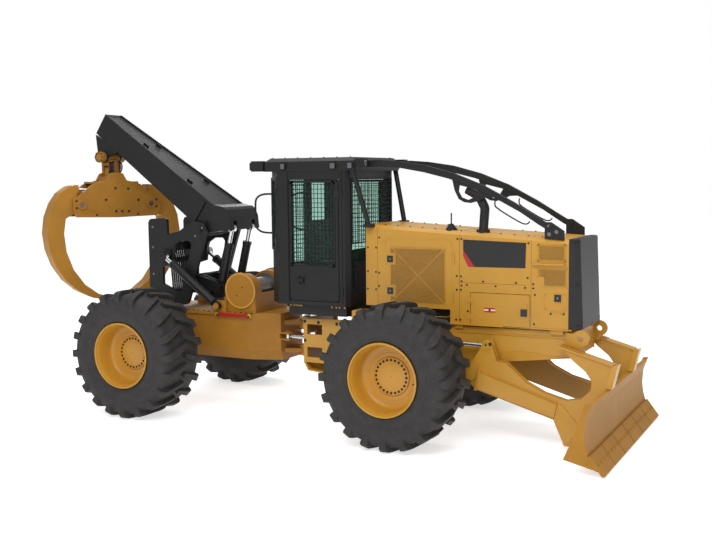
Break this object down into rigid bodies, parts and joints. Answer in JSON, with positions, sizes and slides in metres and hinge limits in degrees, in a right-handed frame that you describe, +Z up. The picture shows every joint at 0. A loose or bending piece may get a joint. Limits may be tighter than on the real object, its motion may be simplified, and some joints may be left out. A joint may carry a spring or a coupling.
{
  "type": "grapple skidder",
  "caption": "Articulated log skidder with a front dozer blade, guarded cab, winch, tilting arch and a hung rotating grapple with curved tongs.",
  "frame": {"origin": "on the ground, at the middle of the overall length and width", "axes": "+X points forward to the blade, +Y to the machine's left, +Z up"},
  "size_m": [8.8489, 3.44, 4.3185],
  "materials": {
    "yellow_paint": "golden yellow machine enamel, semi-gloss",
    "black_paint": "satin black enamel",
    "red_paint": "red enamel",
    "dark_iron": "dull cast iron",
    "bare_steel": "worn bare steel",
    "bright_rod": "hard chrome plate",
    "tyre_rubber": "matt black rubber",
    "window_glass": "lightly tinted glass",
    "seat_fabric": "dark woven upholstery",
    "dark_plastic": "matt black moulded plastic"
  },
  "bodies": {
    "front": {"front_frame": "yellow_paint", "front_axle": "yellow_paint", "engine_block": "dark_iron", "hood": "yellow_paint", "hood_grilles": "yellow_paint", "front_guard": "black_paint", "cab_shell": "black_paint", "cab_glass": "window_glass", "cab_roof": "black_paint", "seat_frame": "black_paint", "seat_pads": "seat_fabric", "control_consoles": "dark_plastic", "limb_risers": "black_paint", "exhaust_stack": "black_paint", "precleaner": "dark_plastic", "roof_lamps": "dark_plastic"},
    "door_left": {"cab_door_left": "black_paint", "door_glass_left": "window_glass"},
    "door_right": {"cab_door_right": "black_paint", "door_glass_right": "window_glass"},
    "service_door_left": {"service_door_left": "yellow_paint"},
    "service_door_right": {"service_door_right": "yellow_paint"},
    "wheel_front_left": {"rim_front_left": "yellow_paint", "tyre_front_left": "tyre_rubber"},
    "wheel_front_right": {"rim_front_right": "yellow_paint", "tyre_front_right": "tyre_rubber"},
    "wheel_rear_left": {"rim_rear_left": "yellow_paint", "tyre_rear_left": "tyre_rubber"},
    "wheel_rear_right": {"rim_rear_right": "yellow_paint", "tyre_rear_right": "tyre_rubber"},
    "blade": {"push_frame": "yellow_paint", "blade": "yellow_paint", "cutting_edge": "yellow_paint"},
    "blade_lift_barrels": {"blade_lift_barrels": "yellow_paint"},
    "blade_lift_rods": {"blade_lift_rods": "bright_rod"},
    "rear": {"rear_frame": "yellow_paint", "rear_axle": "yellow_paint", "winch_housing": "yellow_paint", "steering_lock_bars": "red_paint"},
    "steering_barrel_left": {"steering_barrel_left": "black_paint"},
    "steering_barrel_right": {"steering_barrel_right": "black_paint"},
    "steering_rod_left": {"steering_rod_left": "bright_rod"},
    "steering_rod_right": {"steering_rod_right": "bright_rod"},
    "winch_drum": {"winch_drum": "bare_steel"},
    "arch": {"arch": "black_paint", "fairlead": "black_paint"},
    "arch_barrels": {"arch_barrels": "black_paint"},
    "arch_rods": {"arch_rods": "bright_rod"},
    "boom": {"boom": "black_paint"},
    "boom_barrels": {"boom_barrels": "black_paint"},
    "boom_rods": {"boom_rods": "bright_rod"},
    "swing_link": {"swing_link": "yellow_paint"},
    "crosshead": {"crosshead": "yellow_paint"},
    "grapple_head": {"grapple_head": "yellow_paint"},
    "tong_left": {"tong_left": "yellow_paint"},
    "tong_right": {"tong_right": "yellow_paint"},
    "tong_barrel_left": {"tong_barrel_left": "black_paint"},
    "tong_barrel_right": {"tong_barrel_right": "black_paint"},
    "tong_rod_left": {"tong_rod_left": "bright_rod"},
    "tong_rod_right": {"tong_rod_right": "bright_rod"}
  },
  "joints": [
    {"name": "wheel_front_left_spin", "type": "hinge", "parent": "front", "child": "wheel_front_left", "pos_m": [1.7915, 1.34, 0.89], "axis": [0, 1, 0], "continuous": true},
    {"name": "wheel_front_right_spin", "type": "hinge", "parent": "front", "child": "wheel_front_right", "pos_m": [1.7915, -1.34, 0.89], "axis": [0, 1, 0], "continuous": true},
    {"name": "wheel_rear_left_spin", "type": "hinge", "parent": "rear", "child": "wheel_rear_left", "pos_m": [-2.2085, 1.34, 0.89], "axis": [0, 1, 0], "continuous": true},
    {"name": "wheel_rear_right_spin", "type": "hinge", "parent": "rear", "child": "wheel_rear_right", "pos_m": [-2.2085, -1.34, 0.89], "axis": [0, 1, 0], "continuous": true},
    {"name": "articulation", "type": "hinge", "parent": "front", "child": "rear", "pos_m": [-0.2085, 0, 1.055], "axis": [0, 0, 1], "range_deg": [-45, 45]},
    {"name": "steering_barrel_left_swing", "type": "hinge", "parent": "front", "child": "steering_barrel_left", "pos_m": [0.5415, 0.3, 1.075], "axis": [0, 0, 1], "range_deg": [-7.3, 7.3]},
    {"name": "steering_rod_left_travel", "type": "slide", "parent": "steering_barrel_left", "child": "steering_rod_left", "axis": [-0.999, -0.0439, 0], "range_m": [-0.205, 0.205]},
    {"name": "steering_barrel_right_swing", "type": "hinge", "parent": "front", "child": "steering_barrel_right", "pos_m": [0.5415, -0.3, 1.075], "axis": [0, 0, 1], "range_deg": [-7.3, 7.3]},
    {"name": "steering_rod_right_travel", "type": "slide", "parent": "steering_barrel_right", "child": "steering_rod_right", "axis": [-0.999, 0.0439, 0], "range_m": [-0.205, 0.205]},
    {"name": "cab_door_left_hinge", "type": "hinge", "parent": "front", "child": "door_left", "pos_m": [0.7055, 0.714, 2.468], "axis": [0, 0, -1], "range_deg": [0, 95]},
    {"name": "service_door_left_hinge", "type": "hinge", "parent": "front", "child": "service_door_left", "pos_m": [2.4615, 0.512, 1.648], "axis": [0, 0, 1], "range_deg": [0, 80]},
    {"name": "cab_door_right_hinge", "type": "hinge", "parent": "front", "child": "door_right", "pos_m": [0.7055, -0.714, 2.468], "axis": [0, 0, 1], "range_deg": [0, 95]},
    {"name": "service_door_right_hinge", "type": "hinge", "parent": "front", "child": "service_door_right", "pos_m": [2.4615, -0.512, 1.648], "axis": [0, 0, -1], "range_deg": [0, 80]},
    {"name": "blade_lift", "type": "hinge", "parent": "front", "child": "blade", "pos_m": [2.5315, 0, 0.829], "axis": [0, -1, 0], "range_deg": [-6, 24]},
    {"name": "blade_lift_barrels_swing", "type": "hinge", "parent": "front", "child": "blade_lift_barrels", "pos_m": [1.7215, 0, 1.225], "axis": [0, -1, 0], "range_deg": [-1, 3.7]},
    {"name": "blade_lift_rods_travel", "type": "slide", "parent": "blade_lift_barrels", "child": "blade_lift_rods", "axis": [0.9998, 0, -0.0198], "range_m": [-0.17, 0.045]},
    {"name": "winch_drum_spin", "type": "hinge", "parent": "rear", "child": "winch_drum", "pos_m": [-1.0485, 0, 1.71], "axis": [0, 1, 0], "continuous": true},
    {"name": "arch_tilt", "type": "hinge", "parent": "rear", "child": "arch", "pos_m": [-2.2585, 0, 1.52], "axis": [0, -1, 0], "range_deg": [-10, 35]},
    {"name": "arch_barrels_swing", "type": "hinge", "parent": "rear", "child": "arch_barrels", "pos_m": [-1.3785, 0, 1.49], "axis": [0, -1, 0], "range_deg": [-4.1, 14]},
    {"name": "arch_rods_travel", "type": "slide", "parent": "arch_barrels", "child": "arch_rods", "axis": [-0.8061, 0, 0.5917], "range_m": [-0.08, 0.268]},
    {"name": "boom_lift", "type": "hinge", "parent": "arch", "child": "boom", "pos_m": [-1.7385, 0, 2.575], "axis": [0, 1, 0], "range_deg": [-45, 4]},
    {"name": "boom_barrels_swing", "type": "hinge", "parent": "arch", "child": "boom_barrels", "pos_m": [-1.5185, 0, 1.745], "axis": [0, -1, 0], "range_deg": [-1, 10]},
    {"name": "boom_rods_travel", "type": "slide", "parent": "boom_barrels", "child": "boom_rods", "axis": [0.2406, 0, 0.9706], "range_m": [-0.03, 0.29]},
    {"name": "swing_link_plumb", "type": "hinge", "parent": "boom", "child": "swing_link", "pos_m": [-3.7585, 0, 3.66], "axis": [0, 1, 0], "range_deg": [-4.1, 45.1]},
    {"name": "crosshead_sway", "type": "hinge", "parent": "swing_link", "child": "crosshead", "pos_m": [-3.7585, 0, 3.455], "axis": [1, 0, 0], "range_deg": [-25, 25]},
    {"name": "grapple_turn", "type": "hinge", "parent": "crosshead", "child": "grapple_head", "pos_m": [-3.7585, 0, 3.265], "axis": [0, 0, 1], "continuous": true},
    {"name": "tong_left_open", "type": "hinge", "parent": "grapple_head", "child": "tong_left", "pos_m": [-4.0335, -0.47631, 2.93], "axis": [-0.866, 0.5, 0], "range_deg": [0, 60]},
    {"name": "tong_right_open", "type": "hinge", "parent": "grapple_head", "child": "tong_right", "pos_m": [-3.4835, 0.47631, 2.93], "axis": [0.866, -0.5, 0], "range_deg": [0, 60]},
    {"name": "tong_barrel_left_swing", "type": "hinge", "parent": "grapple_head", "child": "tong_barrel_left", "pos_m": [-3.56855, 0.17901, 3.12], "axis": [0.866, -0.5, 0], "range_deg": [-0.1, 2]},
    {"name": "tong_rod_left_travel", "type": "slide", "parent": "tong_barrel_left", "child": "tong_rod_left", "axis": [-0.4995, -0.8651, 0.0459], "range_m": [-0.245, 0]},
    {"name": "tong_barrel_right_swing", "type": "hinge", "parent": "grapple_head", "child": "tong_barrel_right", "pos_m": [-3.94845, -0.17901, 3.12], "axis": [-0.866, 0.5, 0], "range_deg": [-0.1, 2]},
    {"name": "tong_rod_right_travel", "type": "slide", "parent": "tong_barrel_right", "child": "tong_rod_right", "axis": [0.4995, 0.8651, 0.0459], "range_m": [-0.245, 0]}
  ],
  "couplings": [
    {"joint": "steering_barrel_left_swing", "follows": "articulation", "ratio": 0.159},
    {"joint": "steering_rod_left_travel", "follows": "articulation", "m_per_rad": 0.2579},
    {"joint": "steering_barrel_right_swing", "follows": "articulation", "ratio": 0.159},
    {"joint": "steering_rod_right_travel", "follows": "articulation", "m_per_rad": -0.2579},
    {"joint": "blade_lift_barrels_swing", "follows": "blade_lift", "ratio": 0.149},
    {"joint": "blade_lift_rods_travel", "follows": "blade_lift", "m_per_rad": -0.4001},
    {"joint": "arch_barrels_swing", "follows": "arch_tilt", "ratio": 0.3947},
    {"joint": "arch_rods_travel", "follows": "arch_tilt", "m_per_rad": 0.4308},
    {"joint": "boom_barrels_swing", "follows": "boom_lift", "ratio": -0.2182},
    {"joint": "boom_rods_travel", "follows": "boom_lift", "m_per_rad": -0.3637},
    {"joint": "swing_link_plumb", "follows": "boom_lift", "ratio": -1},
    {"joint": "tong_right_open", "follows": "tong_left_open", "ratio": 1},
    {"joint": "tong_barrel_left_swing", "follows": "tong_left_open", "ratio": 0.0307},
    {"joint": "tong_rod_left_travel", "follows": "tong_left_open", "m_per_rad": -0.228},
    {"joint": "tong_barrel_right_swing", "follows": "tong_left_open", "ratio": 0.0307},
    {"joint": "tong_rod_right_travel", "follows": "tong_left_open", "m_per_rad": -0.228}
  ]
}
